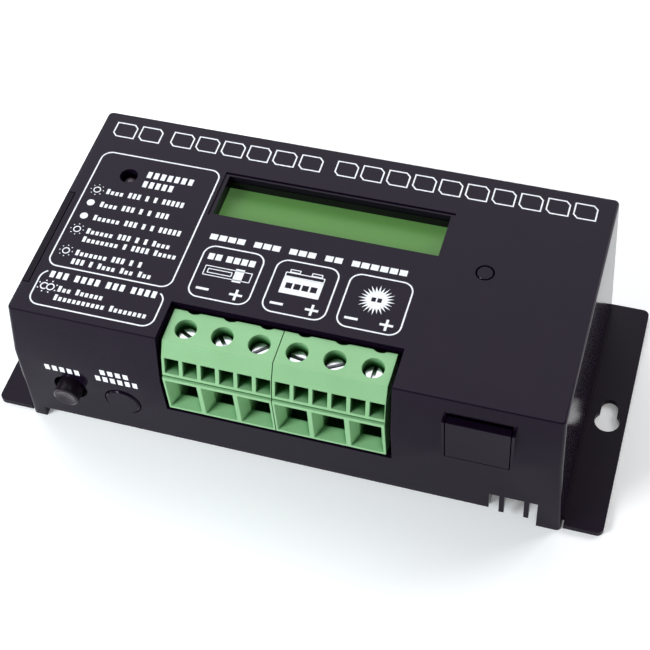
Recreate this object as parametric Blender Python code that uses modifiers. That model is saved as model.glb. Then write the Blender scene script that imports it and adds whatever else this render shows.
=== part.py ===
"""Wall-mounted solar charge controller, 176 x 82 x 47 mm, as an assembly of its separate pieces.

Every length below is in millimetres and is turned into metres when a mesh is made. The origin is at
the middle of the base plate's underside. +X runs along the case, +Y away from the wire terminals and
+Z out through the display. GAP is the room left between neighbouring pieces. REACH and OVERSHOOT are
how far a joined or a cutting shape goes past the surface it joins or cuts.
"""

import math

import bmesh
import bpy
from mathutils import Vector

MM = 0.001
GAP = 0.3
WELD = 0.00001
REACH = 1.0
OVERSHOOT = 3.0
ROUND_STEPS = 24
POST_STEPS = 16
HOLE_STEPS = 12
SMOOTH_ANGLE = math.radians(35)

# Case: tapered sides, and a front that leans back above a crease.
CASE_TOP = 46.7
CASE_TOP_HALF_WIDTH = 75.0
CASE_FLARE = 2.1
CASE_BACK = 37.4
CASE_FRONT_TOP = -37.4
CASE_FRONT = -40.4
CASE_CREASE = 31.0
CASE_CORNER_RADIUS = 1.4
CASE_EDGE_RADIUS = 0.5
WALL = 2.2
CEILING = CASE_TOP - WALL

# Lower edge of the case front: two feet, a raised skirt and a barred air vent.
FOOT_LEFT = -72.7
FOOT_RIGHT = 70.4
SKIRT_EDGE = 4.2
VENT_LEFT = 57.4
VENT_TOP = 11.2
VENT_BAR_CENTRES = (60.8, 67.5)
VENT_BAR_WIDTH = 1.4
VENT_BAR_LOW = 2.9
VENT_BAR_DEPTH = 6.2
VENT_BAR_FOOT = 1.2
VENT_BAR_INSET = 0.1

# Base plate with a keyhole in each ear.
BASE_THICKNESS = 1.8
COVER_SEAT_DEPTH = 0.05
BASE_HALF_LENGTH = 88.1
BASE_BACK = 36.9
BASE_FRONT = -36.9
EAR_FRONT = -39.4
EAR_INNER = 77.5
EAR_CORNER_RADIUS = 1.8
VENT_CUTOUT_BACK = -30.0
KEYHOLE_X = 82.9
KEYHOLE_Y = -4.0
KEYHOLE_RADIUS = 3.5
KEYHOLE_SLOT_RADIUS = 2.35
KEYHOLE_SLOT_END = 3.2
PLATE_CORNER_STEPS = 4

# Screw posts that hang from the top of the case.
COVER_POSTS = ((-69.2, -24.0), (69.2, -24.0), (-69.2, 32.4), (69.2, 32.4))
BOARD_POSTS = ((-61.0, -22.0), (61.0, -22.0), (-61.0, 29.0), (61.0, 29.0))
POST_RADIUS = 2.9
PILOT_RADIUS = 1.55
COVER_PILOT_TOP = 16.0
BOARD_PILOT_DEPTH = 9.0

# Fasteners: countersunk for the base plate, pan-head for the circuit board.
SHANK_RADIUS = 1.2
COVER_SCREW_END = 12.0
COVER_SCREW_HEAD_RADIUS = 2.5
COVER_SCREW_HEAD_HEIGHT = 1.4
COVER_SCREW_RECESS = 0.05
COVER_SCREW_SLOT = (0.8, 0.5)
COUNTERSINK_SPREAD = 2.0
BOARD_SCREW_LENGTH = 8.0
BOARD_SCREW_HEAD_RADIUS = 2.6
BOARD_SCREW_HEAD_HEIGHT = 1.6
BOARD_SCREW_HEAD_BEVEL = 0.65

# Circuit board.
BOARD_LOW = 12.8
BOARD_TOP = 14.4
BOARD_HALF_WIDTH = 65.6
BOARD_FRONT = -37.8
BOARD_BACK = 33.0
ON_BOARD = BOARD_TOP + GAP

# Wire terminals: two blocks of three poles.
PITCH = 10.16
BLOCK_WIDTH = 30.4
BLOCK_CENTRES = (-16.25, 14.35)
POLES_PER_BLOCK = 3
SCREW_Y = -31.35
BLOCK_BACK = -25.8
BLOCK_TOP = 45.3
BLOCK_BROW = (-36.0, 44.9)
BLOCK_SHOULDER = (-38.45, 40.5)
BLOCK_LEDGE = (-40.1, 34.55)
BLOCK_GROOVE = ((-39.7, 34.45), (-39.7, 34.1))
BLOCK_FACE = -40.6
BLOCK_FACE_TOP = 33.9
BLOCK_LIP = 19.8
BLOCK_FOOT_FRONT = -37.6
TERMINAL_OPENING_LEFT = -32.6
TERMINAL_OPENING_RIGHT = 31.0
TERMINAL_OPENING_BACK = -24.7
TERMINAL_OPENING_LOW = 18.2

WELL_RADIUS = 3.0
SCREW_SEAT = 40.5
SCREW_HEAD_RADIUS = 2.6
SCREW_HEAD_HEIGHT = 1.6
SCREW_HEAD_BEVEL = 0.3
SCREW_STEM_RADIUS = 1.8
SCREW_STEM_LENGTH = 9.6
SCREW_TIP_BEVEL = 0.4
SCREW_SLOT_WIDTH = 1.1
SCREW_SLOT_DEPTH = 1.2
SCREW_ANGLES = (154.0, 132.0, 43.0, 171.0, 29.0, 89.0)

CAGE_HALF_WIDTH = 3.6
CAGE_HALF_DEPTH = 2.8
CAGE_LOW = 23.2
CAGE_FLOOR = 24.6
CAGE_ROOF = 31.1
CAGE_TOP = 34.1
CAGE_TRAVEL = 4.2
CAGE_SIDE_ROOM = 0.4
BAR_LOW = 29.6
BAR_TOP = 30.8
BAR_HALF_WIDTH = 2.2
BAR_LEG_FRONT = -27.6
BAR_LEG_BACK = -26.8
BAR_LEG_END = 10.6

FUNNEL_HALF_WIDTH = 4.6
FUNNEL_LOW = 20.6
FUNNEL_TOP = 33.0
FUNNEL_BACK = -37.1
WIRE_HOLE_HALF_WIDTH = 3.0
WIRE_HOLE_LOW = 21.2
WIRE_HOLE_TOP = 29.6
WIRE_ROOM_FRONT = -36.5
PROBE_HALF_WIDTH = 2.0
PROBE_SHIFT = 0.3
PROBE_LOW = 35.4
PROBE_TOP = 40.3
PROBE_BACK = -35.0
SCALLOP_RADIUS = 2.7
SCALLOP_DEPTH = 0.75
SCALLOP_HEIGHT = 2.5
SCALLOP_SHIFT = 0.4

# Display module behind a window in the top.
WINDOW_LEFT, WINDOW_RIGHT = -32.2, 31.8
WINDOW_FRONT, WINDOW_BACK = 7.2, 21.55
WINDOW_RIM_SIDE = 1.2
WINDOW_RIM_END = 0.9
WINDOW_RIM_DEPTH = 0.45
DISPLAY_X = -0.15
DISPLAY_Y = 14.1
DISPLAY_BOARD_SIZE = (80.0, 36.0)
DISPLAY_BOARD_LOW = 37.0
DISPLAY_BOARD_TOP = 38.6
BEZEL_SIZE = (71.2, 24.6)
BEZEL_TOP = 44.2
BEZEL_WINDOW = (64.6, 14.3)
BEZEL_LIP = 2.6
GLASS_SIZE = (66.0, 18.2)
GLASS_LOW = 39.1
GLASS_TOP = 41.3
SPACER_OFFSET = (37.5, 15.5)
SPACER_RADIUS = 2.5
SPACER_SIDES = 6
HEADER_SIZE = (40.6, 2.5)
HEADER_OFFSET = (-14.1, -16.0)

# Small fittings in the top and the front. A ring of RING_GAP shows round each plug.
RING_GAP = 0.4
LED_X, LED_Y = -60.1, 14.6
LED_RADIUS = 2.35
LED_HOLE_RADIUS = 2.6
LED_LOW = 36.3
LED_TOP = 44.9
LED_COLLAR = 0.4
LED_COLLAR_HEIGHT = 1.0
LED_LEADS_RADIUS = 1.3
TOP_PLUG_X, TOP_PLUG_Y = 45.2, 4.2
TOP_PLUG_HOLE_RADIUS = 2.6
TOP_PLUG_EDGE = 0.15
TOP_PLUG_FLANGE = 0.9
TOP_PLUG_FLANGE_THICKNESS = 1.2
RESET_X, RESET_Z = -61.2, 18.6
RESET_HOLE_RADIUS = 4.9
RESET_BUTTON_RADIUS = 3.7
RESET_BUTTON_BACK = -38.4
RESET_BUTTON_LENGTH = 5.9
RESET_BUTTON_DISH = ((0.0, 0.55), (1.4, 0.45), (2.5, 0.05), (3.1, 0.0), (3.55, 0.25), (3.7, 0.6))
RESET_SOCKET_DEPTH = 3.0
RESET_STEM_RADIUS = 1.6
RESET_STEM_FRONT = -41.1
RESET_STEM_BACK = -36.5
SWITCH_FRONT = -37.0
SWITCH_BACK = -33.4
SWITCH_HALF_WIDTH = 3.0
SWITCH_TOP = 22.0
SWITCH_HOLE_BACK = -35.0
SENSOR_X, SENSOR_Z = -45.8, 17.0
SENSOR_HOLE_RADIUS = 5.4
SENSOR_PLUG_EDGE = 0.4
SENSOR_PLUG_PROUD = 0.5

# Blank panels that close unused openings.
PANEL_LEFT, PANEL_RIGHT = 45.1, 62.4
PANEL_LOW, PANEL_TOP = 25.3, 40.9
PANEL_OPENING_TOP = 42.2
PANEL_FRAME = 0.75
SIDE_PANEL_FRONT, SIDE_PANEL_BACK = -27.9, 5.2
SIDE_PANEL_LOW = 31.0
SIDE_PANEL_INNER = -72.5

# Parts on the circuit board.
HEAT_SINK_HALF_WIDTH = 33.0
HEAT_SINK_FRONT = 22.0
HEAT_SINK_PLATE = 3.0
HEAT_SINK_BACK = 32.6
HEAT_SINK_TOP = 34.7
HEAT_SINK_SLOTS = 9
HEAT_SINK_FIN = 1.2
TRANSISTOR_XS = (-24.0, -8.0, 8.0, 24.0)
REGULATOR_X, REGULATOR_BACK = -48.0, 12.0
PACKAGE_HALF_WIDTH = 5.0
PACKAGE_LIFT = 3.5
PACKAGE_HEIGHT = 9.2
PACKAGE_FRONT = 4.5
PACKAGE_REAR = 0.6
TAB_THICKNESS = 1.3
TAB_LOW = 0.5
TAB_TOP = 15.4
TAB_HOLE_RADIUS = 1.9
TAB_HOLE_HEIGHT = 12.4
LEAD_PITCH = 2.54
LEAD_HALF_WIDTH = 0.4
LEAD_FRONT, LEAD_REAR = 2.9, 2.4
CAPACITOR_PLACES = ((52.0, 14.0), (52.0, -3.0))
CAPACITOR_RADIUS = 6.3
CAPACITOR_HEIGHT = 20.0
CAPACITOR_RIM = ((0.0, 0.3), (5.3, 0.3), (5.4, 0.0), (5.9, 0.0), (6.3, 0.5))
CAPACITOR_FOOT = ((6.3, 3.2), (5.8, 2.6), (6.3, 2.0), (6.3, 0.4), (5.9, 0.0), (0.0, 0.0))
CHIP_CENTRE = (-8.0, 6.0)
CHIP_SIZE = (34.7, 7.2)
CHIP_HEIGHT = 4.2
CHIP_MARK_X = -25.4
CHIP_MARK_RADIUS = 1.0
CHIP_MARK_DEPTH = 0.8
CRYSTAL_CENTRE = (20.0, 6.0)
CRYSTAL_SIZE = (11.0, 4.6)
CRYSTAL_HEIGHT = 3.6
CRYSTAL_ROUNDING = 1.2
STRAP_LEFT, STRAP_RIGHT = 40.0, 54.0
STRAP_FRONT, STRAP_BACK = -22.0, -18.0
STRAP_HEIGHT = 7.0
STRAP_THICKNESS = 1.2


def new_collection(name):
    collection = bpy.data.collections.new(name)
    bpy.context.scene.collection.children.link(collection)
    return collection


def material(name, color, roughness, metallic=0.0):
    made = bpy.data.materials.new(name)
    made.use_nodes = True
    shader = made.node_tree.nodes["Principled BSDF"]
    shader.inputs["Base Color"].default_value = (*color, 1.0)
    shader.inputs["Roughness"].default_value = roughness
    shader.inputs["Metallic"].default_value = metallic
    return made


for old in list(bpy.data.objects):
    bpy.data.objects.remove(old, do_unlink=True)

PARTS = new_collection("charge_controller")
CUTTERS = new_collection("cutters")

BLACK_PLASTIC = material("black_plastic", (0.045, 0.042, 0.055), 0.45)
BLACK_METAL = material("black_metal", (0.02, 0.018, 0.025), 0.5, 0.6)
BLACK_FRAME = material("black_frame", (0.015, 0.015, 0.017), 0.4, 0.5)
GREEN_PLASTIC = material("green_plastic", (0.30, 0.62, 0.31), 0.45)
STEEL = material("steel", (0.62, 0.62, 0.63), 0.3, 1.0)
BRASS = material("tinned_brass", (0.75, 0.68, 0.5), 0.35, 1.0)
DISPLAY_GREEN = material("display_green", (0.13, 0.36, 0.08), 0.15)
LED_RESIN = material("led_resin", (0.35, 0.35, 0.37), 0.2)
CIRCUIT_BOARD = material("circuit_board", (0.02, 0.12, 0.04), 0.4)
ALUMINIUM = material("aluminium", (0.7, 0.7, 0.72), 0.35, 1.0)
EPOXY = material("chip_epoxy", (0.02, 0.02, 0.02), 0.5)
NYLON = material("nylon", (0.8, 0.8, 0.78), 0.5)
SLEEVE = material("capacitor_sleeve", (0.03, 0.04, 0.1), 0.35)


def place(name, mesh, location=(0.0, 0.0, 0.0), look=None, turn=(0.0, 0.0, 0.0)):
    """An object of the model, or a cutter or guide when it has no material."""
    made = bpy.data.objects.new(name, mesh)
    made.location = Vector(location) * MM
    made.rotation_euler = turn
    if look is None:
        CUTTERS.objects.link(made)
        made.hide_render = True
        made.display_type = "WIRE"
    else:
        PARTS.objects.link(made)
        mesh.materials.clear()
        mesh.materials.append(look)
    bpy.context.view_layer.update()
    return made


def mesh_of(name, bm):
    mesh = bpy.data.meshes.new(name)
    bmesh.ops.recalc_face_normals(bm, faces=bm.faces)
    bm.to_mesh(mesh)
    bm.free()
    return mesh


def box(name, low, high, look=None):
    low, high = Vector(low), Vector(high)
    bm = bmesh.new()
    bmesh.ops.create_cube(bm, size=1.0)
    bmesh.ops.scale(bm, vec=(high - low) * MM, verts=bm.verts)
    return place(name, mesh_of(name, bm), (low + high) / 2, look)


def cylinder(name, radius, base, length, look=None, turn=(0.0, 0.0, 0.0), steps=ROUND_STEPS):
    """A cylinder that starts at its base point and runs along its own +Z."""
    bm = bmesh.new()
    bmesh.ops.create_cone(
        bm, cap_ends=True, segments=steps, radius1=radius * MM, radius2=radius * MM, depth=length * MM
    )
    bmesh.ops.translate(bm, vec=(0.0, 0.0, length * MM / 2), verts=bm.verts)
    made = place(name, mesh_of(name, bm), base, look, turn)
    smooth(made.data)
    return made


def smooth(mesh):
    mesh.shade_smooth()
    mesh.set_sharp_from_angle(angle=SMOOTH_ANGLE)


def turned(name, profile, base, look, turn=(0.0, 0.0, 0.0), steps=ROUND_STEPS):
    """A solid of revolution about its own Z, from (radius, height) points listed top to bottom."""
    mesh = bpy.data.meshes.new(name)
    points = [(radius * MM, 0.0, height * MM) for radius, height in profile]
    mesh.from_pydata(points, [(i, i + 1) for i in range(len(points) - 1)], [])
    made = place(name, mesh, base, look, turn)
    screw = made.modifiers.new("turn", "SCREW")
    screw.axis = "Z"
    screw.steps = steps
    screw.render_steps = steps
    screw.use_merge_vertices = True
    screw.merge_threshold = WELD
    screw.use_smooth_shade = False
    return made


def arc(centre, radius, start, end, steps):
    """Points of a round stretch, with its angles in degrees."""
    points = []
    for i in range(steps + 1):
        angle = math.radians(start + (end - start) * i / steps)
        points.append((centre[0] + radius * math.cos(angle), centre[1] + radius * math.sin(angle)))
    return points


def extruded(name, outline, low, high, look=None, along="Z"):
    """A flat outline given thickness along Z (outline in X, Y) or along X (outline in Y, Z)."""
    curve = bpy.data.curves.new(name, "CURVE")
    curve.dimensions = "2D"
    curve.fill_mode = "BOTH"
    curve.extrude = (high - low) * MM / 2
    spline = curve.splines.new("POLY")
    spline.points.add(len(outline) - 1)
    for point, (u, v) in zip(spline.points, outline):
        point.co = (u * MM, v * MM, 0.0, 1.0)
    spline.use_cyclic_u = True
    middle = (low + high) / 2
    location, turn = ((0.0, 0.0, middle), (0.0, 0.0, 0.0))
    if along == "X":
        location, turn = ((middle, 0.0, 0.0), (math.pi / 2, 0.0, math.pi / 2))
    guide = place(name + "_outline", curve, location, None, turn)
    mesh = bpy.data.meshes.new_from_object(guide.evaluated_get(bpy.context.evaluated_depsgraph_get()))
    bm = bmesh.new()
    bm.from_mesh(mesh)
    bmesh.ops.remove_doubles(bm, verts=bm.verts, dist=WELD)
    made = place(name, mesh_of(name, bm), (0.0, 0.0, 0.0), look)
    made.matrix_world = guide.matrix_world.copy()
    bpy.data.objects.remove(guide, do_unlink=True)
    bpy.data.meshes.remove(mesh)
    return made


def combine(target, others, operation):
    for other in others:
        step = target.modifiers.new(operation.lower() + "_" + other.name, "BOOLEAN")
        step.operation = operation
        step.object = other
        step.solver = "EXACT"


def cut(target, *others):
    combine(target, others, "DIFFERENCE")


def join(target, *others):
    combine(target, others, "UNION")


def baked(part):
    """The part with its modifiers made real, so that copies can share its mesh."""
    bpy.context.view_layer.update()
    mesh = bpy.data.meshes.new_from_object(part.evaluated_get(bpy.context.evaluated_depsgraph_get()))
    part.modifiers.clear()
    part.data = mesh
    return part


def copy_of(part, name, shift, spin=0.0):
    made = part.copy()
    made.name = name
    made.location = part.location + Vector(shift) * MM
    made.rotation_euler.z = part.rotation_euler.z + spin
    PARTS.objects.link(made)
    return made


def case_flare(z):
    """How far the sides stand out from the top's width."""
    return CASE_FLARE * (CASE_TOP - z) / CASE_TOP


def case_lean(z):
    """How far the front stands out from the top's front edge."""
    return (CASE_FRONT_TOP - CASE_FRONT) * min(1.0, (CASE_TOP - z) / (CASE_TOP - CASE_CREASE))


def case_body(name, inset, low, top, corner=0.0, edge=0.0, look=None):
    """The tapered block of the case, drawn in by an inset, with its corners and top edge rounded."""
    half_x = CASE_TOP_HALF_WIDTH - inset
    half_y = (CASE_BACK - CASE_FRONT_TOP) / 2 - inset
    middle_y = (CASE_BACK + CASE_FRONT_TOP) / 2
    bm = bmesh.new()
    bmesh.ops.create_cube(bm, size=2.0)
    bmesh.ops.scale(bm, vec=(half_x * MM, half_y * MM, (top - low) / 2 * MM), verts=bm.verts)
    bmesh.ops.translate(bm, vec=(0.0, middle_y * MM, (top + low) / 2 * MM), verts=bm.verts)
    if corner:
        uprights = [e for e in bm.edges if abs(e.verts[0].co.z - e.verts[1].co.z) > MM]
        bmesh.ops.bevel(
            bm, geom=uprights, offset=corner * MM, segments=4, profile=0.5, affect="EDGES"
        )
    everything = bm.verts[:] + bm.edges[:] + bm.faces[:]
    crease = (0.0, 0.0, CASE_CREASE * MM)
    bmesh.ops.bisect_plane(bm, geom=everything, plane_co=crease, plane_no=(0.0, 0.0, 1.0))
    for vert in bm.verts:
        z = vert.co.z / MM
        vert.co.x += math.copysign(case_flare(z), vert.co.x) * MM
        if vert.co.y < 0:
            vert.co.y -= case_lean(z) * MM
    if edge:
        rim = [e for e in bm.edges if all(v.co.z > (top - GAP) * MM for v in e.verts)]
        bmesh.ops.bevel(bm, geom=rim, offset=edge * MM, segments=2, profile=0.5, affect="EDGES")
    return place(name, mesh_of(name, bm), (0.0, 0.0, 0.0), look)


def front_cylinder(name, radius, x, z, front, back, look=None):
    """A cylinder along Y, from its front face to its back face."""
    return cylinder(name, radius, (x, back, z), back - front, look, (math.pi / 2, 0.0, 0.0))


def pole_xs():
    middle = (POLES_PER_BLOCK - 1) / 2
    return [c + (i - middle) * PITCH for c in BLOCK_CENTRES for i in range(POLES_PER_BLOCK)]


def make_cover():
    cover = case_body(
        "top_cover", 0.0, 0.0, CASE_TOP, CASE_CORNER_RADIUS, CASE_EDGE_RADIUS, BLACK_PLASTIC
    )
    smooth(cover.data)
    cut(cover, case_body("case_hollow", WALL, -OVERSHOOT, CEILING))

    boss = box(
        "panel_boss",
        (PANEL_LEFT - PANEL_FRAME, CASE_FRONT, PANEL_LOW - PANEL_FRAME),
        (PANEL_RIGHT + PANEL_FRAME, CASE_FRONT + WALL, PANEL_TOP),
    )
    join(cover, boss)
    inner_front = CASE_FRONT + WALL
    bar_back = CASE_FRONT + VENT_BAR_DEPTH
    bar_root = VENT_TOP + REACH
    half_bar = VENT_BAR_WIDTH / 2

    posts = []
    for kind, places, low in (
        ("cover_post", COVER_POSTS, BASE_THICKNESS + GAP),
        ("board_post", BOARD_POSTS, ON_BOARD),
    ):
        length = CEILING + REACH - low
        for i, (x, y) in enumerate(places):
            posts.append(cylinder(f"{kind}_{i}", POST_RADIUS, (x, y, low), length, steps=POST_STEPS))
    join(cover, *posts)

    plate_room = box(
        "plate_room",
        (-BASE_HALF_LENGTH, BASE_FRONT - GAP, -OVERSHOOT),
        (BASE_HALF_LENGTH, CASE_BACK + OVERSHOOT, BASE_THICKNESS + GAP),
    )
    skirt_gap = box(
        "skirt_gap",
        (FOOT_LEFT, CASE_FRONT - OVERSHOOT, -OVERSHOOT),
        (VENT_LEFT + REACH, inner_front + REACH, SKIRT_EDGE),
    )
    vent = box(
        "vent_opening",
        (VENT_LEFT, CASE_FRONT - OVERSHOOT, -OVERSHOOT),
        (FOOT_RIGHT, inner_front + REACH, VENT_TOP),
    )
    cut(cover, plate_room, skirt_gap, vent)

    bars = []
    bar_front = CASE_FRONT + VENT_BAR_INSET
    bar_outline = [(bar_front, VENT_BAR_LOW), (bar_front + VENT_BAR_FOOT, VENT_BAR_LOW)]
    bar_outline += [(bar_back, bar_root), (bar_front, bar_root)]
    for i, x in enumerate(VENT_BAR_CENTRES):
        bars.append(extruded(f"vent_bar_{i}", bar_outline, x - half_bar, x + half_bar, along="X"))
    rib_low = (VENT_LEFT - VENT_BAR_WIDTH, inner_front - REACH, SKIRT_EDGE + VENT_BAR_INSET)
    bars.append(box("vent_rib", rib_low, (VENT_LEFT, bar_back, bar_root)))
    join(cover, *bars)

    above = CASE_TOP + OVERSHOOT
    before = CASE_FRONT - OVERSHOOT
    terminal_opening = box(
        "terminal_opening",
        (TERMINAL_OPENING_LEFT, before, TERMINAL_OPENING_LOW),
        (TERMINAL_OPENING_RIGHT, TERMINAL_OPENING_BACK, above),
    )
    window = box(
        "window_opening", (WINDOW_LEFT, WINDOW_FRONT, CEILING - REACH), (WINDOW_RIGHT, WINDOW_BACK, above)
    )
    rim = box(
        "window_rim",
        (WINDOW_LEFT - WINDOW_RIM_SIDE, WINDOW_FRONT - WINDOW_RIM_END, CASE_TOP - WINDOW_RIM_DEPTH),
        (WINDOW_RIGHT + WINDOW_RIM_SIDE, WINDOW_BACK + WINDOW_RIM_END, above),
    )
    panel_opening = box(
        "panel_opening",
        (PANEL_LEFT, before, PANEL_LOW),
        (PANEL_RIGHT, inner_front + OVERSHOOT, PANEL_OPENING_TOP),
    )
    side_opening = box(
        "side_opening",
        (-CASE_TOP_HALF_WIDTH - CASE_FLARE - OVERSHOOT, SIDE_PANEL_FRONT, SIDE_PANEL_LOW),
        (SIDE_PANEL_INNER, SIDE_PANEL_BACK, above),
    )
    cut(cover, terminal_opening, window, rim, panel_opening, side_opening)

    drill = CEILING - REACH
    depth = above - drill
    led_hole = cylinder("led_hole", LED_HOLE_RADIUS, (LED_X, LED_Y, drill), depth)
    plug_hole = cylinder("plug_hole", TOP_PLUG_HOLE_RADIUS, (TOP_PLUG_X, TOP_PLUG_Y, drill), depth)
    reset_hole = front_cylinder(
        "reset_hole", RESET_HOLE_RADIUS, RESET_X, RESET_Z, before, inner_front + REACH
    )
    sensor_hole = front_cylinder(
        "sensor_hole", SENSOR_HOLE_RADIUS, SENSOR_X, SENSOR_Z, before, inner_front + REACH
    )
    cut(cover, led_hole, plug_hole, reset_hole, sensor_hole)

    pilots = []
    for kind, places, low, length in (
        ("cover_pilot", COVER_POSTS, 0.0, COVER_PILOT_TOP),
        ("board_pilot", BOARD_POSTS, BOARD_TOP - REACH, REACH + BOARD_PILOT_DEPTH),
    ):
        for i, (x, y) in enumerate(places):
            pilots.append(cylinder(f"{kind}_{i}", PILOT_RADIUS, (x, y, low), length, steps=HOLE_STEPS))
    cut(cover, *pilots)


def make_base_plate():
    ear, radius = BASE_HALF_LENGTH - EAR_CORNER_RADIUS, EAR_CORNER_RADIUS
    steps = PLATE_CORNER_STEPS
    outline = arc((ear, BASE_BACK - radius), radius, 0, 90, steps)
    outline += arc((-ear, BASE_BACK - radius), radius, 90, 180, steps)
    outline += arc((-ear, EAR_FRONT + radius), radius, 180, 270, steps)
    outline += [(-EAR_INNER, EAR_FRONT), (-EAR_INNER, BASE_FRONT), (VENT_LEFT - GAP, BASE_FRONT)]
    outline += [(VENT_LEFT - GAP, VENT_CUTOUT_BACK), (FOOT_RIGHT + GAP, VENT_CUTOUT_BACK)]
    outline += [(FOOT_RIGHT + GAP, BASE_FRONT), (EAR_INNER, BASE_FRONT), (EAR_INNER, EAR_FRONT)]
    outline += arc((ear, EAR_FRONT + radius), radius, 270, 360, steps)
    plate = extruded("base_plate", outline, 0.0, BASE_THICKNESS, BLACK_METAL)

    slot_angle = math.degrees(math.asin(KEYHOLE_SLOT_RADIUS / KEYHOLE_RADIUS))
    slot_end = (0.0, KEYHOLE_SLOT_END - KEYHOLE_SLOT_RADIUS)
    for side in (-1, 1):
        shape = arc((0.0, KEYHOLE_Y), KEYHOLE_RADIUS, 90 + slot_angle, 450 - slot_angle, ROUND_STEPS)
        shape += arc(slot_end, KEYHOLE_SLOT_RADIUS, 0, 180, ROUND_STEPS // 2)
        shape = [(side * KEYHOLE_X + x, y) for x, y in shape]
        name = "keyhole_left" if side < 0 else "keyhole_right"
        cut(plate, extruded(name, shape, -OVERSHOOT, BASE_THICKNESS + OVERSHOOT))

    above = BASE_THICKNESS + REACH
    cone_top = BASE_THICKNESS - GAP
    wide = PILOT_RADIUS + COUNTERSINK_SPREAD
    sink = [(0.0, above), (PILOT_RADIUS, above), (PILOT_RADIUS, cone_top)]
    sink += [(wide, cone_top - COUNTERSINK_SPREAD), (0.0, cone_top - COUNTERSINK_SPREAD)]
    for i, (x, y) in enumerate(COVER_POSTS):
        cut(plate, turned(f"countersink_{i}", sink, (x, y, 0.0), None, steps=POST_STEPS))
    seat_low = (-EAR_INNER, EAR_FRONT - REACH, BASE_THICKNESS - COVER_SEAT_DEPTH)
    cut(plate, box("cover_seat", seat_low, (EAR_INNER, BASE_BACK + REACH, above)))


def make_cover_screws():
    """Countersunk screws that hold the base plate to the cover's posts."""
    head, low = COVER_SCREW_HEAD_RADIUS, COVER_SCREW_RECESS
    half_slot, slot_top = COVER_SCREW_SLOT[0] / 2, COVER_SCREW_SLOT[1]
    profile = [(0.0, COVER_SCREW_END), (SHANK_RADIUS, COVER_SCREW_END)]
    profile += [(SHANK_RADIUS, COVER_SCREW_HEAD_HEIGHT), (head, low), (0.0, low)]
    for i, (x, y) in enumerate(COVER_POSTS):
        screw = turned(f"cover_screw_{i + 1}", profile, (x, y, 0.0), STEEL, steps=POST_STEPS)
        slot_low = (x - half_slot, y - head - REACH, -REACH)
        slot_high = (x + half_slot, y + head + REACH, slot_top)
        cut(screw, box(f"cover_screw_slot_{i}", slot_low, slot_high))


def make_board_screws():
    """Pan-head screws that hold the circuit board up against its posts."""
    low = BOARD_LOW - GAP
    head, depth, bevel = BOARD_SCREW_HEAD_RADIUS, BOARD_SCREW_HEAD_HEIGHT, BOARD_SCREW_HEAD_BEVEL
    profile = [(0.0, BOARD_SCREW_LENGTH), (SHANK_RADIUS, BOARD_SCREW_LENGTH), (SHANK_RADIUS, 0.0)]
    profile += [(head, 0.0), (head, bevel - depth), (head - bevel, -depth), (0.0, -depth)]
    for i, (x, y) in enumerate(BOARD_POSTS):
        turned(f"board_screw_{i + 1}", profile, (x, y, low), STEEL, steps=HOLE_STEPS)


def make_main_board():
    board = box(
        "main_board",
        (-BOARD_HALF_WIDTH, BOARD_FRONT, BOARD_LOW),
        (BOARD_HALF_WIDTH, BOARD_BACK, BOARD_TOP),
        CIRCUIT_BOARD,
    )
    low, top = BOARD_LOW - REACH, BOARD_TOP + REACH
    for i, (x, y) in enumerate(BOARD_POSTS):
        cut(board, cylinder(f"board_hole_{i}", PILOT_RADIUS, (x, y, low), top - low, steps=HOLE_STEPS))
    for i, x in enumerate(pole_xs()):
        cut(board, pin_slot(f"board_slot_{i}", x, low, top))


def pin_slot(name, x, low, high):
    """Room for a terminal pin's leg."""
    half = BAR_HALF_WIDTH + GAP
    return box(name, (x - half, BAR_LEG_FRONT - GAP, low), (x + half, BAR_LEG_BACK + GAP, high))


def make_funnel(name, x):
    """The tapered mouth that leads a wire into its hole."""
    mouth = (FUNNEL_HALF_WIDTH, BLOCK_FACE - GAP, FUNNEL_LOW, FUNNEL_TOP)
    hole = (WIRE_HOLE_HALF_WIDTH, FUNNEL_BACK, WIRE_HOLE_LOW, WIRE_HOLE_TOP)
    bm = bmesh.new()
    bmesh.ops.create_cube(bm, size=2.0)
    for vert in bm.verts:
        half_width, y, low_z, top_z = hole if vert.co.y > 0 else mouth
        z = top_z if vert.co.z > 0 else low_z
        vert.co = Vector((x + math.copysign(half_width, vert.co.x), y, z)) * MM
    return place(name, mesh_of(name, bm))


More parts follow.
